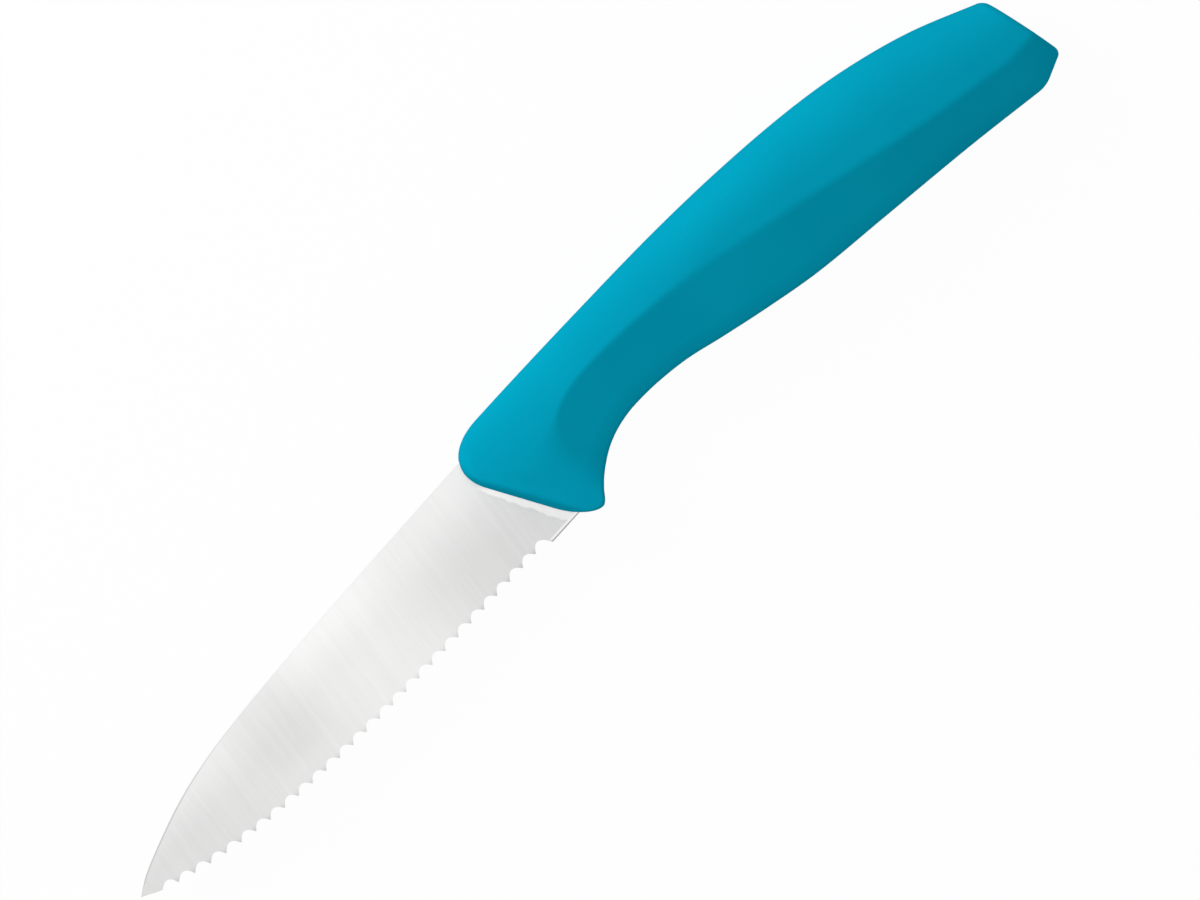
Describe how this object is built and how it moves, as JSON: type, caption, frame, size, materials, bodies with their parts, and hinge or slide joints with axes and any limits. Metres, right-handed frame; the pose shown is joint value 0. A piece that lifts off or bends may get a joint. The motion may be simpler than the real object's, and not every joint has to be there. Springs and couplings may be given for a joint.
{
  "type": "paring knife",
  "caption": "Small kitchen knife with a tapered serrated steel blade, a finger guard and notch, and a drooping moulded soft grip, lying on its right side.",
  "frame": {"origin": "on the surface that the knife lies on, below the middle of its box", "axes": "+X from the tip to the butt, +Y from the cutting edge to the spine, +Z out of the left side, which faces up as the knife lies on its right side"},
  "size_m": [0.1998, 0.0318, 0.0163],
  "materials": {
    "blade_steel": "satin stainless with fine grinding lines across the blade",
    "core_plastic": "moulded hard plastic",
    "soft_grip": "matte soft-touch moulding"
  },
  "bodies": {
    "root": {"blade": "blade_steel", "handle_core": "core_plastic", "handle_grip": "soft_grip"}
  },
  "joints": []
}
